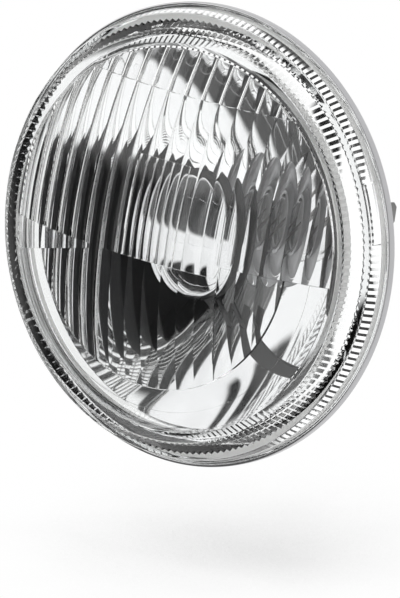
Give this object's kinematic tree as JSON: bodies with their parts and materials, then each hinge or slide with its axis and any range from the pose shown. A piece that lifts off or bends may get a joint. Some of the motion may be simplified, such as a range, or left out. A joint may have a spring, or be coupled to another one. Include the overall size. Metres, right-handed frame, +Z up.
{
  "type": "headlight insert",
  "caption": "Round headlight insert: domed glass lens with a ribbed edge and inner flutes, a mirrored bowl behind it, and a bulb with flat terminals held by a hinged wire clip.",
  "frame": {"origin": "on the optical axis, in the plane of the rear face of the rim flange", "axes": "-Y along the optical axis, out of the front of the lens; +Z up as fitted; +X to the right when seen from the front"},
  "size_m": [0.146, 0.1248, 0.146],
  "materials": {
    "lens_glass": "clear pressed",
    "glue": "matt",
    "mirror": "silvered",
    "shield_chrome": "polished",
    "plated_steel": "zinc plated",
    "spring_wire": "drawn wire",
    "bulb_glass": "clear",
    "tungsten": "drawn wire",
    "insulator_plastic": "moulded",
    "blade_metal": "tinned"
  },
  "bodies": {
    "insert": {"lens": "lens_glass", "lens_glue": "glue", "reflector": "mirror", "bulb_shield": "shield_chrome", "shield_bracket": "plated_steel", "bulb_holder": "plated_steel", "bulb_collar": "plated_steel", "bulb_base": "plated_steel", "bulb_glass": "bulb_glass", "main_filament": "tungsten", "dip_filament": "tungsten", "dip_cup": "tungsten", "lead_wires": "tungsten", "base_insulator": "insulator_plastic", "left_blade": "blade_metal", "right_blade": "blade_metal", "top_blade": "blade_metal"},
    "clip": {"bulb_clip": "spring_wire"}
  },
  "joints": [
    {"name": "clip_hinge", "type": "hinge", "parent": "insert", "child": "clip", "pos_m": [0, 0.05372, 0.025], "axis": [1, 0, 0], "range_deg": [0, 110]}
  ]
}
